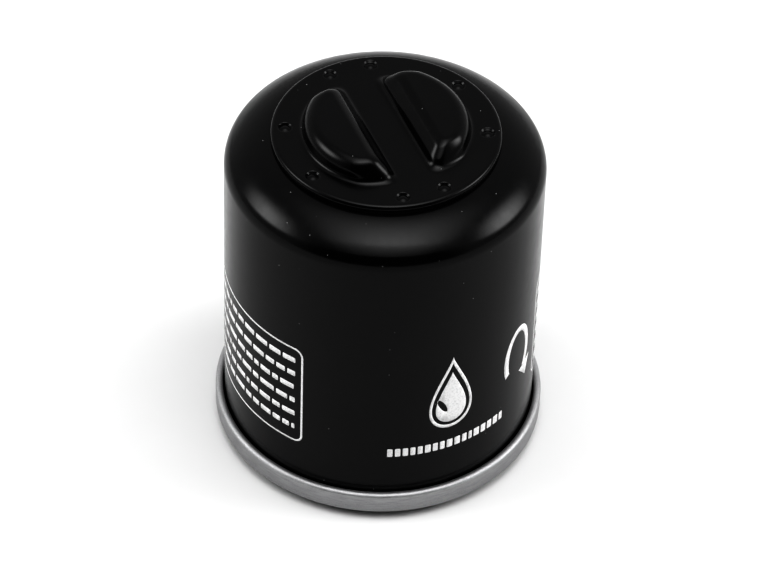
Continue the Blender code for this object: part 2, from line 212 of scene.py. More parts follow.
class Nodes:
    """A few short calls that build a node tree."""

    def __init__(self, tree):
        self.tree = tree

    def node(self, kind, settings=(), **inputs):
        """A new node. An input is named by its socket, with _ for a space, or by its number, as _2."""
        made = self.tree.nodes.new("ShaderNode" + kind)
        for key, value in dict(settings).items():
            setattr(made, key, value)
        for key, value in inputs.items():
            socket = made.inputs[int(key[1:])] if key[0] == "_" else made.inputs[key.replace("_", " ")]
            if isinstance(value, bpy.types.NodeSocket):
                self.tree.links.new(value, socket)
            else:
                socket.default_value = value
        return made

    def math(self, operation, a, b=0.0, clamp=False):
        return self.node("Math", {"operation": operation, "use_clamp": clamp}, _0=a, _1=b).outputs[0]

    def span(self, value, low, high, to_low=0.0, to_high=1.0):
        made = self.node("MapRange", {"clamp": True}, _0=value, _1=low, _2=high, _3=to_low, _4=to_high)
        return made.outputs[0]


class Surface(Nodes):
    """A Principled material. Textures read object space, which is the part's frame."""

    def __init__(self, name, metallic=0.0, ior=1.45):
        self.material = bpy.data.materials.new(name)
        self.material.use_nodes = True
        super().__init__(self.material.node_tree)
        self.shader = self.tree.nodes["Principled BSDF"]
        self.shader.inputs["Metallic"].default_value = metallic
        self.shader.inputs["IOR"].default_value = ior
        self.space = self.tree.nodes.new("ShaderNodeTexCoord").outputs["Object"]

    def noise(self, size, detail=3.0, rough=0.55, space=None):
        """Noise from 0 to 1 whose features are about size millimetres across."""
        return self.node("TexNoise", Vector=space or self.space, Scale=1 / (size * MM), Detail=detail,
                         Roughness=rough).outputs[0]

    def around(self, coarse, fine):
        """Coordinates for marks that run round the axis: slow round it, quick up it and outwards."""
        split = self.node("SeparateXYZ", _0=self.space).outputs
        x2, y2 = self.math("MULTIPLY", split[0], split[0]), self.math("MULTIPLY", split[1], split[1])
        reach = self.math("SQRT", self.math("ADD", x2, self.math("ADD", y2, 1e-9)))
        x = self.math("MULTIPLY", self.math("DIVIDE", split[0], reach), coarse)
        y = self.math("MULTIPLY", self.math("DIVIDE", split[1], reach), coarse)
        z = self.math("MULTIPLY", self.math("ADD", split[2], reach), fine)
        return self.node("CombineXYZ", _0=x, _1=y, _2=z).outputs[0]

    def blend(self, share, first, second):
        made = self.tree.nodes.new("ShaderNodeMix")
        made.data_type = "RGBA"
        self.tree.links.new(share, made.inputs["Factor"])
        for socket, colour in ((made.inputs[6], first), (made.inputs[7], second)):
            if isinstance(colour, bpy.types.NodeSocket):
                self.tree.links.new(colour, socket)
            else:
                socket.default_value = (*colour, 1.0)
        return made.outputs[2]

    def specks(self, cell, radius, kept):
        """Sparse round specks: 1 inside one, 0 elsewhere. kept is the share of cells that hold one."""
        dots = self.node("TexVoronoi", {"feature": "F1"}, Vector=self.space, Scale=1 / (cell * MM))
        near = self.span(dots.outputs["Distance"], radius / cell, 0.6 * radius / cell)
        pick = self.node("SeparateXYZ", _0=dots.outputs["Color"]).outputs[0]
        return self.math("MULTIPLY", near, self.math("LESS_THAN", pick, kept))

    def done(self, colour, roughness, height=None, depth=0.05):
        """Links colour, roughness and a height whose full range is depth millimetres."""
        for key, value in (("Base Color", colour), ("Roughness", roughness)):
            if isinstance(value, bpy.types.NodeSocket):
                self.tree.links.new(value, self.shader.inputs[key])
            else:
                self.shader.inputs[key].default_value = value
        if height is not None:
            bump = self.node("Bump", Height=height, Strength=1.0, Distance=depth * MM)
            self.tree.links.new(bump.outputs[0], self.shader.inputs["Normal"])
        return self.material


def black_paint():
    """Baked black enamel: satin gloss, faint orange peel, a few specks of dust."""
    s = Surface("black_enamel", ior=1.335)
    dust = s.specks(2.2, 0.11, 0.7)
    tone = s.blend(s.noise(9.0), (0.0015, 0.0015, 0.0016), (0.0035, 0.0035, 0.0037))
    coarse, fine = s.math("MULTIPLY", s.noise(1.1, 2.0), 0.7), s.math("MULTIPLY", s.noise(0.28, 2.0), 0.3)
    height = s.math("ADD", s.math("ADD", coarse, fine), s.math("MULTIPLY", dust, 4.0))
    rough = s.math("ADD", s.span(s.noise(1.7, 4.0), 0.3, 0.7, 0.17, 0.23), s.math("MULTIPLY", dust, 0.3))
    return s.done(s.blend(dust, tone, (0.22, 0.22, 0.22)), rough, height, 0.006)


def seam_steel():
    """Zinc-plated sheet, rolled: fine grain, streaks along the roll, painted shade darkening its foot and a
    mottled painted highlight on its lip.
    """
    s = Surface("rolled_zinc_steel", metallic=1.0)
    streaks = s.span(s.noise(1.0, 5.0, 0.65, s.around(0.010, 3.2)), 0.32, 0.68)
    grain = s.noise(0.2, 3.0, 0.6)
    height = s.node("SeparateXYZ", _0=s.space).outputs[2]
    lip = s.span(height, 4.7 * MM, 5.2 * MM)
    # painted highlight: noisy patches on the lip's crest are coloured lighter (and made a little smoother) to
    # stand in for the gleam on the ring's top
    painted_lip_highlight = s.math("MULTIPLY", lip, s.span(s.noise(0.22, 3.0), 0.35, 0.62))
    # painted shade: the side's colour darkens towards its foot, near the floor, where shade falls
    side = s.span(height, 1.6 * MM, 4.6 * MM)
    base = s.blend(side, (0.32, 0.32, 0.325), (0.43, 0.43, 0.435))
    base = s.blend(s.math("MULTIPLY", streaks, 0.7), base, (0.22, 0.22, 0.225))
    mottled = s.blend(s.span(grain, 0.35, 0.65, 0.0, 0.6), base, (0.46, 0.46, 0.465))
    colour = s.blend(painted_lip_highlight, mottled, (0.44, 0.44, 0.445))
    rough = s.math("SUBTRACT", s.span(grain, 0.3, 0.7, 0.48, 0.66), s.math("MULTIPLY", painted_lip_highlight, 0.06))
    relief = s.math("ADD", s.math("MULTIPLY", streaks, 0.5), s.math("MULTIPLY", grain, 0.6))
    return s.done(colour, rough, relief, 0.03)


def plate_steel():
    """Blanked, phosphated and oiled plate, turned bright in the thread."""
    s = Surface("oiled_plate_steel", metallic=1.0)
    turned = s.noise(0.5, 3.0, 0.5, s.around(0.01, 2.5))
    blot = s.noise(5.0, 5.0)
    colour = s.blend(s.span(blot, 0.3, 0.7), (0.26, 0.25, 0.235), (0.44, 0.43, 0.41))
    rough = s.span(s.noise(1.2, 4.0), 0.3, 0.7, 0.3, 0.48)
    return s.done(colour, rough, s.math("ADD", turned, s.math("MULTIPLY", s.noise(0.2), 0.4)), 0.015)


def tinned_steel():
    """Bright tinplate for the element's caps, tube and cage."""
    s = Surface("tinplate", metallic=1.0)
    spangle = s.node("TexVoronoi", {"feature": "F1"}, Vector=s.space, Scale=1 / (2.6 * MM)).outputs["Color"]
    pick = s.node("SeparateXYZ", _0=spangle).outputs[0]
    rolled = s.noise(0.6, 3.0, 0.5, s.around(0.02, 2.0))
    rough = s.math("ADD", s.span(pick, 0.0, 1.0, 0.24, 0.36), s.math("MULTIPLY", rolled, 0.1))
    return s.done(s.blend(pick, (0.50, 0.50, 0.49), (0.62, 0.62, 0.61)), rough, rolled, 0.01)


def spring_steel():
    s = Surface("drawn_spring_wire", metallic=1.0)
    drawn = s.noise(0.4, 4.0)
    colour = s.blend(drawn, (0.16, 0.16, 0.17), (0.34, 0.34, 0.35))
    return s.done(colour, s.span(drawn, 0.3, 0.7, 0.26, 0.42), drawn, 0.008)


def rubber(name, dark, light):
    """Moulded rubber with a fine skin and a trace of bloom."""
    s = Surface(name, ior=1.5)
    bloom = s.span(s.noise(3.0, 5.0), 0.45, 0.75)
    skin_height = s.math("ADD", s.noise(0.25, 3.0), s.math("MULTIPLY", s.noise(1.5), 0.5))
    return s.done(s.blend(bloom, dark, light), s.span(s.noise(0.8), 0.3, 0.7, 0.45, 0.62), skin_height, 0.012)


def resin(name, dark, light):
    s = Surface(name, ior=1.52)
    flow = s.noise(2.2, 4.0)
    return s.done(s.blend(flow, dark, light), s.span(flow, 0.3, 0.7, 0.28, 0.5), flow, 0.05)


def filter_paper():
    """Resin-soaked cellulose: fibres, and the fine emboss that keeps pleats apart."""
    s = Surface("filter_paper", ior=1.4)
    fibres = s.noise(0.35, 6.0, 0.7)
    emboss = s.node("TexWave", {"wave_type": "BANDS", "bands_direction": "Z"}, Vector=s.space,
                    Scale=0.32 / MM / 2, Distortion=0.6).outputs[0]
    height = s.math("ADD", fibres, s.math("MULTIPLY", emboss, 0.6))
    colour = s.blend(s.span(fibres, 0.3, 0.7), (0.46, 0.34, 0.15), (0.72, 0.58, 0.33))
    return s.done(colour, 0.85, height, 0.05)


def white_ink():
    """Screen ink: off-white, thin at its edges, very slightly mottled."""
    s = Surface("screen_ink", ior=1.45)
    wear = s.span(s.noise(0.25, 3.0), 0.25, 0.5)
    return s.done(s.blend(wear, (0.5, 0.5, 0.5), (0.8, 0.8, 0.8)), 0.42, s.noise(0.2), 0.006)


# ---------------------------------------------------------------- turned and pressed pieces


def arc(centre, radius, start, end, step=7.0):
    """Points of an arc in a section, angles in degrees from the outward direction."""
    count = max(2, ceil(abs(end - start) / step))
    turns = [radians(start + (end - start) * i / count) for i in range(count + 1)]
    return [(centre[0] + radius * cos(t), centre[1] + radius * sin(t)) for t in turns]


def can_shell(finish):
    """The drawn can: domed end, shoulder, straight wall and the flare inside the seam."""
    dome_r, shoulder_r, shoulder_z, meet = 12.0, 3.6, 54.3, 43.0
    flare_r, flare_z, flare_end = 0.9, 5.0, 245
    half = CAN_WALL / 2
    dome = (CAN_R - shoulder_r - (dome_r - shoulder_r) * sin(radians(meet)), CAN_TOP - dome_r)
    path = [(0.0, CAN_TOP - half)]
    path += arc(dome, dome_r - half, 90, 90 - meet, 4)
    path += arc((CAN_R - shoulder_r, shoulder_z), shoulder_r - half, 90 - meet, 0, 4)[1:]
    path += arc((CAN_R + flare_r, flare_z), flare_r + half, 180, flare_end, 6)
    path += [(26.64, 3.85)]
    return piece(lathe(skin(path, CAN_WALL)), "can_shell", "shell", finish, ["can"])


def seam_roll(finish):
    """The groove sheet, rolled up round the can's flare. Its lip is a little uneven, as a rolled edge is."""
    sheet, bottom, outer, top = 0.45, 1.725, 27.275, 5.375
    groove_in, groove_out, roof = 20.45, 24.7, 3.925
    corner, turn_up, roll, crest = 0.5, 0.6, 0.55, 0.45
    path = [(groove_in, bottom + 0.3)]
    path += arc((groove_in + corner, roof - corner), corner, 180, 90, 18)
    path += arc((groove_out - corner, roof - corner), corner, 90, 0, 18)
    path += arc((groove_out + turn_up, bottom + turn_up), turn_up, 180, 270, 15)
    path += arc((outer - roll, bottom + roll), roll, 270, 360, 15)
    path += arc((outer - crest, top - crest), crest, 0, 90, 15)
    path += [(26.55, top - 0.04), (26.4, top - 0.14)]
    shape = lathe(skin(path, sheet), steps=300)
    for vert in shape.verts:
        turn = atan2(vert.co.y, vert.co.x)
        ring = Vector((cos(turn), sin(turn), 0.0)) * 9.0
        lift = max(0.0, (vert.co.z / MM - 4.6) / 0.8)
        vert.co.z -= 0.045 * MM * lift * (0.5 + 0.5 * noise.noise(ring))
        vert.co.z -= 0.02 * MM * lift * (0.5 + 0.5 * noise.noise(ring * 5))
    return piece(shape, "seam_roll", "shell", finish, ["seam_lid"])


def seam_compound(finish):
    section = rounded([(25.35, 3.3, 0.3), (26.5, 3.3, 0.3), (26.5, 2.1, 0.3), (25.35, 2.1, 0.3)])
    return piece(lathe(section), "seam_compound", "shell", finish, ["seam_sealant"])


def gasket_ring(finish):
    """A square-cut ring with rounded sealing corners and a shallow relief groove in its inner wall."""
    section = rounded([(20.85, 3.55, 0.15), (24.2, 3.55, 0.15), (24.2, 0.0, 0.5), (20.85, 0.0, 0.5),
                       (20.85, 1.3, 0.1), (21.1, 1.7, 0.2), (21.1, 2.2, 0.2), (20.85, 2.6, 0.1)])
    return piece(lathe(section), "gasket_ring", "shell", finish, ["sealing_gasket"])


def threaded_base(finish):
    """The tapped plate: a cut thread up its neck, and six chamfered inlets round it."""
    chamfer, plate_r = 0.9, 25.1
    inlets, inlet_ring = 6, 15.6
    low, high = PLATE_LOW + chamfer, NECK_TOP - chamfer / 2
    bore = [(THREAD_R, low + (high - low) * i / 54) for i in range(55)]
    section = rounded([(THREAD_R + chamfer / 2, NECK_TOP), (NECK_R, NECK_TOP, 0.5), (NECK_R, PLATE_TOP, 1.0),
                       (plate_r, PLATE_TOP, 0.5), (plate_r, PLATE_LOW, 0.5), (THREAD_R + chamfer, PLATE_LOW)])
    holes = []
    for i in range(inlets):
        turn = 2 * pi * (i + 0.58) / inlets
        x, y = inlet_ring * cos(turn), inlet_ring * sin(turn)
        holes.append(((x, y, 6.0), (0, 0, 1), 2.5, 2.5, 8.0))
        holes.append(((x, y, PLATE_LOW), (0, 0, 1), 3.4, 2.3, 1.1))
        holes.append(((x, y, PLATE_TOP), (0, 0, 1), 2.3, 3.4, 1.1))
    plate = drill(lathe(section + bore), holes)
    for vert in plate.verts:
        reach, z = vert.co.xy.length / MM, vert.co.z / MM
        if abs(reach - THREAD_R) < 0.02 and low - 0.01 < z < high + 0.01:
            phase = (z / THREAD_PITCH - atan2(vert.co.y, vert.co.x) / (2 * pi)) % 1.0
            groove = min(max(1.22 - abs(phase - 0.5) * 3.2, 0.0), 1.0)
            fade = min((z - low) / 1.2, (high - z) / 0.8, 1.0)
            scale = 1 + THREAD_DEPTH * groove * max(fade, 0.0) / THREAD_R
            vert.co.x *= scale
            vert.co.y *= scale
    return piece(plate, "threaded_base", "shell", finish, ["base_plate"])


def drainback_skirt(finish):
    """The moulded rubber skirt that closes the inlets: a thick collar, then a thin web to a beaded lip."""
    low, bore = 7.6, NECK_R + 0.3
    upper = [(bore, 10.2, 0.3), (12.2, 10.2, 0.3), (12.8, 9.7, 0.3), (16.2, 9.05, 3.0), (19.7, 8.5, 0.4)]
    lip = [(20.3, 8.1, 0.2), (20.3, low, 0.15), (19.3, low, 0.2)]
    lower = [(13.2, 8.6, 1.2), (12.2, low, 0.15), (bore + 0.5, low, 0.1), (bore, 8.8, 0.1)]
    shape = lathe(rounded(upper + lip + lower))
    return piece(shape, "drainback_skirt", "drainback_valve", finish, ["anti_drainback_valve"])


def grommet_ring(finish):
    """The rubber that seals the element on the neck, with a collar up through the cap's hole."""
    inner, step, outer, low, high, collar = THREAD_R + 0.5, 10.4, 12.6, NECK_TOP + 0.1, LOWER_CAP - 0.1, 0.9
    section = rounded([(inner, high + collar, 0.2), (step, high + collar, 0.25), (step, high, 0.1),
                       (outer, high, 0.25), (outer, low, 0.25), (inner, low, 0.2)])
    return piece(lathe(section, steps=SMALL_STEPS), "grommet_ring", "element", finish,
                 ["element_grommet"])


def element_cap(name, node, face, up, hole, finish):
    """A pressed cap: a flat ring whose rim turns over the pleats and flares a hair at its edge."""
    edge, bend, rim = 23.35, 0.6, 3.0
    path = [(hole, face)]
    path += arc((edge - bend, face + bend * up), bend, -90 * up, 0, 15)
    path += [(edge, face + rim * up)]
    return piece(lathe(skin(path, CAP_SHEET)), name, "element", finish, [node])


def resin_bed(name, node, low, high, rises, finish):
    """Adhesive that the pleats are set in: level against the cap, uneven where the pleats enter it."""
    corners = [(13.65, low), (22.95, low, 0.0 if rises < 0 else 0.4)]
    corners += [(22.95, high, 0.0 if rises > 0 else 0.4), (13.65, high)]
    flat = rounded(corners)
    section = []
    for (r, z), (next_r, next_z) in zip(flat, flat[1:] + flat[:1]):
        count = max(1, ceil(abs(next_r - r) / 0.6))
        section += [(r + (next_r - r) * i / count, z + (next_z - z) * i / count) for i in range(count)]
    shape = lathe(section)
    free = high if rises > 0 else low
    for vert in shape.verts:
        if abs(vert.co.z / MM - free) < 0.01:
            vert.co.z -= rises * 0.12 * MM * (0.5 + 0.5 * noise.noise(vert.co / MM * 1.4))
    return piece(shape, name, "element", finish, [node])


def paper_pleats(finish):
    """Forty pleats: rounded folds, paper of even thickness, and a slight waviness up their length."""
    low, high, paper, count = 15.0, 47.7, 0.42, 40
    inner, outer, fold = 14.3, 22.3, 0.42
    line = []
    for i in range(2 * count):
        out = i % 2 == 0
        reach = outer - fold if out else inner + fold
        turn = pi * i / count
        centre = Vector((reach * cos(turn), reach * sin(turn)))
        for k in range(7):
            swing = pi * (k / 6 - 0.5) * (1 if out else -1)
            aim = turn + swing if out else turn + pi + swing
            line.append(centre + Vector((cos(aim), sin(aim))) * fold)
    sides = ([], [])
    for i, point in enumerate(line):
        along = (line[(i + 1) % len(line)] - line[i - 1]).normalized()
        for side, sign in zip(sides, (1, -1)):
            side.append(point + Vector((along.y, -along.x)) * sign * paper / 2)
    shape = bmesh.new()
    walls = []
    for side in sides:
        rings = []
        for level in range(13):
            z = low + (high - low) * level / 12
            ring = []
            for x, y in side:
                sway = 0.10 * noise.noise(Vector((x * 0.5, y * 0.5, z * 0.25))) / sqrt(x * x + y * y)
                ring.append(shape.verts.new(Vector((x - y * sway, y + x * sway, z)) * MM))
            rings.append(ring)
        join_rings(shape, rings)
        walls.append(rings)
    for end in (0, -1):
        join_rings(shape, [walls[0][end], walls[1][end]])
    return piece(shape, "paper_pleats", "element", finish, ["pleated_media"], sharp=50)


def seam_strip(finish):
    """The folded strip that clamps the pleat pack's joint, with a row of stake marks."""
    gauge, half, outer, back, low, high = 0.3, 1.3, 23.0, 20.8, 15.85, 46.85
    section = [(back, half), (outer, half), (outer, -half), (back, -half), (back, gauge - half),
               (outer - gauge, gauge - half), (outer - gauge, half - gauge), (back, half - gauge)]
    outline = [(y, x) for x, y in rounded([(*p, 0.25) if p[0] == outer else (*p, 0.08) for p in section])]
    shape = bmesh.new()
    rings = []
    for level in range(63):
        z = low + (high - low) * level / 62
        dent = 0.1 * max(0.0, sin(2 * pi * level / 7.75)) ** 2
        ring = []
        for y, x in outline:
            pull = dent if abs(y) < 0.7 and x > outer - 0.1 else 0.0
            ring.append(shape.verts.new(Vector((x - pull, y, z)) * MM))
        rings.append(ring)
    join_rings(shape, rings)
    shape.faces.new(rings[0])
    shape.faces.new(rings[-1])
    return piece(shape, "seam_strip", "element", finish, ["media_seam_clip"])


def perforated_tube(finish):
    low, high, wall, margin = LOWER_CAP + CAP_SHEET + 0.1, UPPER_CAP - 0.1, 0.5, 5
    inside = TUBE_R - wall
    section = rounded([(inside, high, 0.1), (TUBE_R, high, 0.1), (TUBE_R, low, 0.1), (inside, low, 0.1)])
    holes = []
    for row in range(4):
        z = low + margin + (high - low - 2 * margin) * row / 3
        for i in range(4):
            turn = pi * (i + 0.5 * (row % 2)) / 4
            holes.append(((0, 0, z), (sin(turn), -cos(turn), 0), 1.6, 1.6, 54.0))
    shape = drill(lathe(section, steps=SMALL_STEPS), holes)
    return piece(shape, "perforated_tube", "element", finish, ["centre_tube"])


def valve_cage(finish):
    """The bypass valve's drawn cup: flange, straight wall with windows, and a guide for the stem."""
    top, low, sheet = UPPER_CAP - 0.1, 38.0, 0.5
    flange, reach, guide = 11.5, 8.3, 1.7
    window_r, window_z = 2.4, 42.3
    section = rounded([(reach - sheet, top, 0.4), (flange, top, 0.15), (flange, top - sheet, 0.15),
                       (reach, top - sheet, 0.2), (reach, low, 0.8), (guide, low, 0.1),
                       (guide, low + sheet, 0.1), (reach - sheet, low + sheet, 0.4)])
    holes = [((0, 0, window_z), way, window_r, window_r, 30.0) for way in ((0, -1, 0), (1, 0, 0))]
    shape = drill(lathe(section, steps=SMALL_STEPS), holes)
    return piece(shape, "valve_cage", "element", finish, ["bypass_housing"])


def valve_disc(finish):
    """The poppet: a pressed disc with a nub that centres its washer, and a stem with a rounded end."""
    section = rounded([(0, 48.7), (2.6, 48.7, 0.3), (2.6, 47.9, 0.1), (7.0, 47.9, 0.2), (7.0, 47.1, 0.2),
                       (1.4, 47.1, 0.3), (1.4, 36.6, 0.6), (0, 36.6)], closed=False)
    return piece(lathe(section, closed=False, steps=72), "valve_disc", "bypass_valve", finish,
                 ["bypass_poppet"])


def valve_washer(finish):
    """The rubber washer that closes the bypass seat."""
    section = rounded([(2.75, 49.0, 0.15), (7.0, 49.0, 0.25), (7.0, 48.0, 0.25), (2.75, 48.0, 0.15)])
    return piece(lathe(section, steps=72), "valve_washer", "bypass_valve", finish,
                 ["bypass_seal"])


def coil(name, node, body, reach, wire, turns, low, high, finish):
    """A compression spring whose end turns lie flat. reach is its radius at the bottom and at the top."""
    per_turn = 40
    count = turns * per_turn
    start, end = low + wire, high - wire
    closed, rise = 0.75 / turns, 2.3 * wire
    path = []
    for i in range(count + 1):
        along = i / count
        middle = min(max((along - closed) / (1 - 2 * closed), 0.0), 1.0)
        middle = middle * middle * (3 - 2 * middle) * 0.35 + middle * 0.65
        ends = (min(along, closed) + max(along - 1 + closed, 0.0)) / closed
        z = start + rise * ends + (end - start - 2 * rise) * middle
        r = reach[0] + (reach[1] - reach[0]) * along
        path.append((r * cos(2 * pi * turns * along), r * sin(2 * pi * turns * along), z))
    return piece(sweep(path, wire), name, body, finish, [node], sharp=60)


# ---------------------------------------------------------------- grip disc


def grip_outline(z, count=144):
    """The half-moon grip's outline at height z above the disc, in millimetres, anticlockwise.

    Its walls are a chord, a circle and two slanting ends. Each leans in as it rises and rounds over at the
    crest, a fillet spreads it at the foot, and the corners between the walls are rounded.
    """
    share = z / LOBE_RISE
    foot = GRIP_FILLET
    spread = foot - sqrt(foot**2 - (foot - z) ** 2) if z < foot else 0.0
    middle_x, span_x, span_y = 7.9, 4.5, 12.0

    def inset(run, edge):
        over = max(0.0, z - (LOBE_RISE - edge))
        return run + edge - sqrt(max(edge**2 - over**2, 0.0)) - spread

    chord = 3.1 + inset(0.45 * z + 0.45 * max(z - 1.2, 0.0) + 0.5 * max(z - 2.5, 0.0), 0.6)
    outer = 13.5 - inset(0.5 * share, 1.9)
    ends = 12.3 - inset(3.2 * share, 0.45)
    corner = 2.1 - 0.9 * share

    def outside(x, y):
        gaps = (chord - x, sqrt(x * x + y * y) - outer, abs(y) - ends)
        return min(max(gaps), -corner) + sqrt(sum(max(g + corner, 0.0) ** 2 for g in gaps))

    points = []
    for i in range(count):
        turn = 2 * pi * i / count
        near, far = 0.0, 2.0
        for _ in range(30):
            reach = (near + far) / 2
            if outside(middle_x + span_x * reach * cos(turn), span_y * reach * sin(turn)) > 0:
                far = reach
            else:
                near = reach
        points.append((middle_x + span_x * near * cos(turn), span_y * near * sin(turn)))
    return points


def grown(points, reach):
    """A closed outline moved outwards by reach."""
    result = []
    for i, point in enumerate(points):
        along = Vector(points[(i + 1) % len(points)]) - Vector(points[i - 1])
        along.normalize()
        result.append((point[0] + along.y * reach, point[1] - along.x * reach))
    return result


def grip_disc(finish):
    """The welded disc with its two grips and eight spot welds, one sheet thick."""
    shape = bmesh.new()
    borders = []
    over, weld_ring, edge, underside = 2.3, 16.2, 0.7, 60.12

    def ring(points, z):
        return [shape.verts.new((x * MM, y * MM, (DISC_TOP + z) * MM)) for x, y in points]

    foot = [GRIP_FILLET * (1 - sin(radians(90 - 15 * i))) for i in range(7)]
    walls = [GRIP_FILLET + (LOBE_RISE - over - GRIP_FILLET) * i / 2 for i in range(1, 3)]
    crest = [LOBE_RISE - over + over * sin(radians(5 * i)) for i in range(1, 19)]
    levels = [(z, grip_outline(z)) for z in foot + walls + crest]
    for side in (1, -1):
        rings = [ring([(side * x, side * y) for x, y in grown(levels[0][1], 0.2)], 0.0)]
        borders.append(rings[0])
        for z, outline in levels:
            rings.append(ring([(side * x, side * y) for x, y in outline], z))
        rings.append(ring([(side * x, side * y) for x, y in grown(levels[-1][1], -0.2)], LOBE_RISE))
        join_rings(shape, rings)
        shape.faces.new(rings[-1])
    dimple = ((1.4, 0.0), (1.25, 0.0), (1.15, -0.05), (1.02, -0.2),
              (0.86, -0.32), (0.68, -0.28), (0.45, -0.15), (0.2, -0.09))
    round_turns = [pi * k / 14 for k in range(28)]
    for turn in (12.5, 67.5, 112.5, 167.5, 192.5, 247.5, 292.5, 347.5):
        x, y = weld_ring * cos(radians(turn + 90)), weld_ring * sin(radians(turn + 90))
        wobble = 0.03 * sin(turn)
        rings = []
        for r, z in dimple:
            reach = r + (wobble if r > 1 else -wobble)
            rings.append(ring([(x + reach * cos(t), y + reach * sin(t)) for t in round_turns], z))
        borders.append(rings[0])
        join_rings(shape, rings)
        shape.faces.new(rings[-1])
    section = [(DISC_R - edge - 0.2, 0.0)] + arc((DISC_R - edge, -edge), edge, 90, 0, 9)
    section.append((DISC_R, underside - DISC_TOP))
    turns = [2 * pi * i / STEPS for i in range(STEPS)]
    rings = [ring([(r * cos(t), r * sin(t)) for t in turns], z) for r, z in section]
    join_rings(shape, rings)
    borders.append(rings[0])
    edges = [e for border in borders for e in ring_edges(shape, border)]
    bmesh.ops.triangle_fill(shape, use_beauty=True, use_dissolve=False, edges=edges, normal=(0, 0, 1))
    disc = piece(shape, "grip_disc", "shell", finish, ["grip_plate"], sharp=40)
    solid = disc.modifiers.new("sheet", "SOLIDIFY")
    solid.thickness = DISC_SHEET * MM
    solid.offset = -1
    return disc


# ---------------------------------------------------------------- prints


def ink(name, outlines, azimuth, finish):
    """Printed shapes on the wall, each an outline with an optional hole, across and up from azimuth (degrees)."""
    strip, raised, film = 0.7, 0.012, 0.02
    shape = bmesh.new()
    for outline, hole in outlines:
        rings = [[shape.verts.new((x, z, 0.0)) for x, z in loop] for loop in (outline, hole) if loop]
        edges = [e for ring in rings for e in ring_edges(shape, ring)]
        bmesh.ops.triangle_fill(shape, use_beauty=True, use_dissolve=False, edges=edges, normal=(0, 0, 1))
    widths = [v.co.x for v in shape.verts]
    at = min(widths) + strip
    while at < max(widths):
        parts = shape.verts[:] + shape.edges[:] + shape.faces[:]
        bmesh.ops.bisect_plane(shape, geom=parts, plane_co=(at, 0, 0), plane_no=(1, 0, 0))
        at += strip
    wall = CAN_R * MM + raised * MM
    for vert in shape.verts:
        turn = radians(azimuth) + vert.co.x / CAN_R
        vert.co = (wall * cos(turn), wall * sin(turn), vert.co.y * MM)
    for face in shape.faces:
        if face.normal.xy.dot(face.calc_center_median().xy) < 0:
            face.normal_flip()
    shape.normal_update()
    mesh = bpy.data.meshes.new(name)
    shape.to_mesh(mesh)
    shape.free()
    mesh.shade_smooth()
    mesh.materials.append(finish)
    obj = bpy.data.objects.new(name, mesh)
    bpy.context.scene.collection.objects.link(obj)
    solid = obj.modifiers.new("film", "SOLIDIFY")
    solid.thickness = film * MM
    solid.offset = -1
    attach(obj, "shell")
    return obj


def pill(x0, z0, x1, z1, radius):
    """A rounded rectangle as an outline."""
    return rounded([(x0, z0, radius), (x1, z0, radius), (x1, z1, radius), (x0, z1, radius)])


def frame_line(x0, z0, x1, z1, radius, line):
    """A panel's border: a rounded rectangle and the hole inside it."""
    return pill(x0, z0, x1, z1, radius), pill(x0 + line, z0 + line, x1 - line, z1 - line, radius - line)


def dashes(x0, x1, rows, height, width, vary, gap, seed=0.0):
    """Rows of plain dashes where the real print has words."""
    marks = []
    for row, z in enumerate(rows):
        x, k = x0, 0
        while x < x1 - 0.3:
            end = min(x + width + vary * (0.5 + noise.noise(Vector((seed, row * 3.1, k * 1.7)))), x1)
            marks.append((pill(x, z - height / 2, end, z + height / 2, min(0.2, 0.4 * (end - x))), None))
            x, k = end + gap, k + 1
    return marks


def drop(height, lift, reach=0.0):
    """An oil drop's outline, anticlockwise, its point up. reach moves it outwards."""
    points = []
    for i in range(90):
        t = 2 * pi * i / 90
        points.append((-0.70 * height * sin(t) * abs(sin(t / 2)) ** 1.5, height * cos(t) + lift))
    return grown(points, reach) if reach else points


def drop_mark(lift):
    """A plain oil drop inside a line of the same shape, with a gleam cut out of it."""
    gleam = []
    for i in range(24):
        t = 2 * pi * i / 24
        x, z = 0.5 * cos(t), 1.7 * sin(t)
        gleam.append((-1.6 + x * cos(0.5) - z * sin(0.5), lift - 2.6 + x * sin(0.5) + z * cos(0.5)))
    return [(drop(7.9, lift), drop(6.9, lift - 0.35)), (drop(5.6, lift - 1.0), gleam)]


def turn_mark(lift):
    """A curved arrow that shows which way the filter screws on."""
    def swept(width, height, turns):
        return [(width * cos(radians(t)), height * sin(radians(t)) + lift) for t in turns]

    ring = swept(3.9, 6.3, range(-48, 211, 6)) + swept(2.7, 5.1, range(210, -49, -6))
    head = [(0.8, lift - 4.4), (4.7, lift - 3.4), (3.4, lift - 7.2)]
    return [(ring, None), (head, None)]


# ---------------------------------------------------------------- studio


def camera():
    """A long lens at the photograph's angle, with its slight tilt and off-centre framing. Lengths in metres."""
    aim_z, distance, roll = 0.0301, 0.65736, 1.868
    data = bpy.data.cameras.new("camera")
    data.sensor_width, data.lens = 36.0, 188.7
    data.shift_x, data.shift_y = -0.00235, -0.01589
    data.clip_start, data.clip_end = 0.05, 20.0
    obj = bpy.data.objects.new("camera", data)
    turn, rise = radians(CAMERA_AZIMUTH), radians(CAMERA_ELEVATION)
    back = Vector((cos(turn) * cos(rise), sin(turn) * cos(rise), sin(rise)))
    place = Matrix.Translation(Vector((0, 0, aim_z)) + back * distance)
    aim = (-back).to_track_quat("-Z", "Y").to_matrix().to_4x4()
    obj.matrix_world = place @ aim @ Matrix.Rotation(radians(roll), 4, "Z")
    bpy.context.scene.collection.objects.link(obj)
    bpy.context.scene.camera = obj


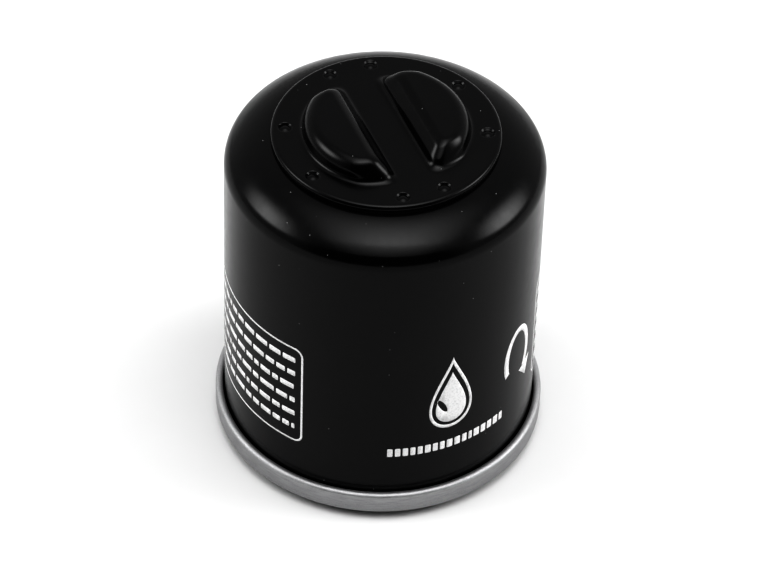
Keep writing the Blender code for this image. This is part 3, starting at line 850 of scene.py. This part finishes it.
def floor():
    """A plain pale sweep of card, matt and very faintly mottled."""
    shape = bmesh.new()
    bmesh.ops.create_circle(shape, cap_ends=True, radius=4.0, segments=96)
    mesh = bpy.data.meshes.new("floor")
    shape.to_mesh(mesh)
    shape.free()
    card = Surface("white_card")
    card.shader.inputs["Specular IOR Level"].default_value = 0.0
    tone = card.blend(card.noise(30.0), (0.65, 0.65, 0.65), (0.69, 0.69, 0.69))
    mesh.materials.append(card.done(tone, 0.9))
    obj = bpy.data.objects.new("floor", mesh)
    bpy.context.scene.collection.objects.link(obj)


def studio():
    """A white room: a large panel overhead, a softbox at each side, and dim space where the camera stands."""
    world = bpy.data.worlds.new("studio")
    world.use_nodes = True
    bpy.context.scene.world = world
    n = Nodes(world.node_tree)
    sky = n.tree.nodes.new("ShaderNodeTexCoord").outputs["Generated"]
    turned = n.node("VectorRotate", {"rotation_type": "Z_AXIS"}, Vector=sky, Angle=radians(-CAMERA_AZIMUTH))
    near, right, up = n.node("SeparateXYZ", _0=turned.outputs[0]).outputs
    elevation = n.math("MULTIPLY", n.math("ARCSINE", up), 180 / pi)
    bearing = n.math("MULTIPLY", n.math("ARCTAN2", right, near), 180 / pi)
    height = n.math("MAXIMUM", up, 0.02)
    along, across = n.math("DIVIDE", near, height), n.math("DIVIDE", right, height)

    away = n.math("ABSOLUTE", bearing)
    dim = n.math("MULTIPLY", n.span(away, 60.0, 42.0), n.span(elevation, 56.0, 48.0))
    light = n.span(dim, 0.0, 1.0, 0.5, 0.0)
    width = n.span(n.math("ABSOLUTE", n.math("SUBTRACT", across, 0.08)), 0.66, 0.1)
    panel = n.math("MULTIPLY", n.span(along, -0.5, 0.42, 0.0, 4.3), n.math("LESS_THAN", along, 0.42))
    spill = n.math("MULTIPLY", n.span(along, 0.42, 0.85, 1.9, 0.0), n.math("GREATER_THAN", along, 0.42))
    light = n.math("ADD", light, n.math("MULTIPLY", n.math("ADD", panel, spill), width))
    for place, rise, wide, tall, power in ((-91.0, 34.0, 16.0, 11.0, 5.0), (95.0, 31.0, 16.0, 12.0, 5.4)):
        x = n.math("DIVIDE", n.math("SUBTRACT", bearing, place), wide)
        y = n.math("DIVIDE", n.math("SUBTRACT", elevation, rise), tall)
        far = n.math("SQRT", n.math("ADD", n.math("MULTIPLY", x, x), n.math("MULTIPLY", y, y)))
        light = n.math("ADD", light, n.span(far, 1.6, 0.45, 0.0, power))
    seen = n.tree.nodes.new("ShaderNodeLightPath").outputs["Is Camera Ray"]
    shown = n.node("Mix", {"data_type": "FLOAT"}, _0=seen, _2=light, _3=0.95).outputs[0]
    n.tree.links.new(shown, n.tree.nodes["Background"].inputs["Strength"])
    n.tree.nodes["Background"].inputs["Color"].default_value = (1.0, 1.0, 1.0, 1.0)

    view = bpy.context.scene.view_settings
    view.view_transform = "Standard"
    view.look = "Very High Contrast"


# ---------------------------------------------------------------- the filter

camera()
floor()
studio()

paint, zinc, plate, tin, wire = black_paint(), seam_steel(), plate_steel(), tinned_steel(), spring_steel()
black = rubber("nitrile_rubber", (0.010, 0.010, 0.011), (0.030, 0.030, 0.031))
red = rubber("silicone_rubber", (0.20, 0.035, 0.02), (0.32, 0.07, 0.04))
glue = resin("plastisol", (0.42, 0.30, 0.12), (0.60, 0.46, 0.24))
compound = resin("seam_compound_paste", (0.42, 0.40, 0.32), (0.58, 0.55, 0.45))
paper, white = filter_paper(), white_ink()

can_shell(paint)
grip_disc(paint)
seam_roll(zinc)
seam_compound(compound)
gasket_ring(black)
threaded_base(plate)
drainback_skirt(red)
grommet_ring(black)
element_cap("lower_cap", "lower_end_cap", LOWER_CAP + 0.25, 1, 10.8, tin)
element_cap("upper_cap", "upper_end_cap", UPPER_CAP + 0.25, -1, 5.0, tin)
resin_bed("lower_resin", "lower_potting", LOWER_CAP + 0.6, LOWER_CAP + 1.8, 1, glue)
resin_bed("upper_resin", "upper_potting", UPPER_CAP - 1.3, UPPER_CAP - 0.1, -1, glue)
paper_pleats(paper)
seam_strip(tin)
perforated_tube(tin)
valve_cage(tin)
valve_disc(tin)
valve_washer(black)
valve_coil = coil("valve_coil", "bypass_spring", "element", (4.3, 4.3), 0.45, 5, 38.6, 47.0, wire)
hold_down_coil = coil("hold_down_coil", "element_spring", "shell", (13.0, 9.0), 0.7, 3, 49.7, 59.55, wire)
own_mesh(valve_coil)
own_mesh(hold_down_coil)

ROWS = (31.0, 28.0, 25.0, 22.0, 19.0, 16.0)
left_panel = [frame_line(-26.0, 12.7, 0.0, 33.8, 1.7, 0.38)]
left_panel += dashes(-24.8, -1.5, ROWS, 1.1, 0.9, 2.6, 0.45, seed=3.0)
right_panel = [frame_line(0.0, 13.2, 26.0, 34.0, 1.7, 0.38)]
right_panel += dashes(1.5, 24.6, ROWS, 1.1, 0.9, 2.6, 0.45, seed=8.0)
ink("left_panel_print", left_panel, 219.2, white)
ink("right_panel_print", right_panel, 324.0, white)
ink("drop_print", drop_mark(25.9), 274.4, white)
ink("caption_print", dashes(-10.9, 10.9, (14.2,), 1.8, 0.62, 0.6, 0.36), 275.0, white)
ink("turn_arrow_print", turn_mark(24.8), 307.5, white)
